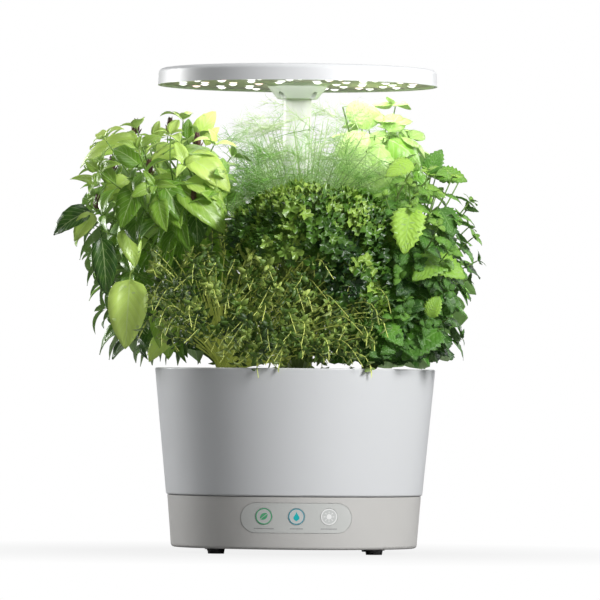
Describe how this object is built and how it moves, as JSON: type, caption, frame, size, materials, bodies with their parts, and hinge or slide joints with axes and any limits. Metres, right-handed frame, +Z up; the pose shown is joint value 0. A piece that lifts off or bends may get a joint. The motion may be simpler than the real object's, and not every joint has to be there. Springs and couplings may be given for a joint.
{
  "type": "countertop hydroponic garden",
  "caption": "Round countertop hydroponic garden: tapered base with touch panel, water bowl, pod deck with herbs, and a light hood on a telescoping post.",
  "frame": {"origin": "on the worktop, in the middle of the whole's outline seen from above; the post's axis stands 24 mm to +X of it, because the plants spread further left", "axes": "+Z up, the control panel faces -Y, the power inlet faces +Y"},
  "size_m": [0.4031, 0.2845, 0.448],
  "materials": {
    "base_plastic": "satin moulded plastic",
    "panel_plastic": "satin moulded plastic",
    "bowl_plastic": "semi-gloss moulded plastic",
    "deck_plastic": "satin moulded plastic",
    "hood_plastic": "satin moulded plastic",
    "post_plastic": "satin moulded plastic",
    "key_plastic": "satin moulded plastic",
    "lamp_plastic": "translucent plastic",
    "foot_rubber": "matt rubber",
    "seal_rubber": "matt rubber",
    "screw_steel": "zinc-plated steel",
    "shaft_steel": "polished steel",
    "board_laminate": "green laminate",
    "light_board": "white-coated aluminium",
    "component_black": "moulded epoxy",
    "emitter": "encapsulated emitter",
    "lens_clear": "clear moulded lens",
    "lead_sheath": "flexible sheath",
    "pump_plastic": "moulded plastic",
    "impeller_plastic": "moulded plastic",
    "magnet": "coated magnet",
    "filter_foam": "open-cell foam",
    "float_plastic": "moulded plastic",
    "pod_plastic": "moulded plastic",
    "grow_sponge": "peat sponge",
    "pod_label": "coated paper",
    "basil_leaf": "living leaf",
    "thai_leaf": "living leaf",
    "dill_frond": "living leaf",
    "parsley_leaf": "living leaf",
    "thyme_leaf": "living leaf",
    "mint_leaf": "living leaf"
  },
  "bodies": {
    "garden": {"feet": "foot_rubber", "base_plate": "base_plastic", "base_housing": "base_plastic", "base_screws": "screw_steel", "panel_plate": "panel_plastic", "water_lamp": "lamp_plastic", "control_board": "board_laminate", "tact_switches": "component_black", "indicator_lamps": "emitter", "driver_board": "board_laminate", "driver_parts": "component_black", "power_jack": "component_black", "panel_lead": "lead_sheath", "pump_lead": "lead_sheath", "bowl": "bowl_plastic", "pump_plug": "pump_plastic", "plug_seal": "seal_rubber", "pump_housing": "pump_plastic", "pump_cover": "pump_plastic", "pump_filter": "filter_foam", "impeller_shaft": "shaft_steel", "float_guide": "impeller_plastic", "grow_deck": "deck_plastic", "grow_sponges": "grow_sponge", "pod_labels": "pod_label", "genovese_basil": "basil_leaf", "dill": "dill_frond", "thai_basil": "thai_leaf", "thyme": "thyme_leaf", "curly_parsley": "parsley_leaf", "mint": "mint_leaf", "lower_post": "post_plastic", "post_collar": "post_plastic", "post_screws": "screw_steel", "light_lead": "lead_sheath", "pod_basket_1": "pod_plastic", "pod_basket_2": "pod_plastic", "pod_basket_3": "pod_plastic", "pod_basket_4": "pod_plastic", "pod_basket_5": "pod_plastic", "pod_basket_6": "pod_plastic"},
    "light": {"upper_post": "post_plastic", "post_slider": "impeller_plastic", "hood_shell": "hood_plastic", "hood_cover": "hood_plastic", "led_board": "light_board", "leds": "emitter", "led_lenses": "lens_clear", "hood_hub": "hood_plastic", "hood_screws": "screw_steel"},
    "feed_key": {"feed_key": "key_plastic"},
    "light_key": {"light_key": "key_plastic"},
    "impeller": {"impeller": "impeller_plastic"},
    "level_float": {"level_float": "float_plastic", "float_magnet": "magnet"}
  },
  "joints": [
    {"name": "hood_slide", "type": "slide", "parent": "garden", "child": "light", "axis": [0, 0, 1], "range_m": [-0.17, 0], "deforming": ["genovese_basil", "dill", "thai_basil", "thyme", "curly_parsley", "mint", "light_lead"]},
    {"name": "feed_key_press", "type": "slide", "parent": "garden", "child": "feed_key", "axis": [0, 1, 0], "range_m": [0, 0.0008], "stiffness_N_per_m": 900, "springref_m": -0.0002},
    {"name": "light_key_press", "type": "slide", "parent": "garden", "child": "light_key", "axis": [0, 1, 0], "range_m": [0, 0.0008], "stiffness_N_per_m": 900, "springref_m": -0.0002},
    {"name": "impeller_spin", "type": "hinge", "parent": "garden", "child": "impeller", "pos_m": [0.024, 0.062, 0.075], "axis": [0, 0, 1], "continuous": true},
    {"name": "float_rise", "type": "slide", "parent": "garden", "child": "level_float", "axis": [0, 0, 1], "range_m": [0, 0.07]}
  ]
}
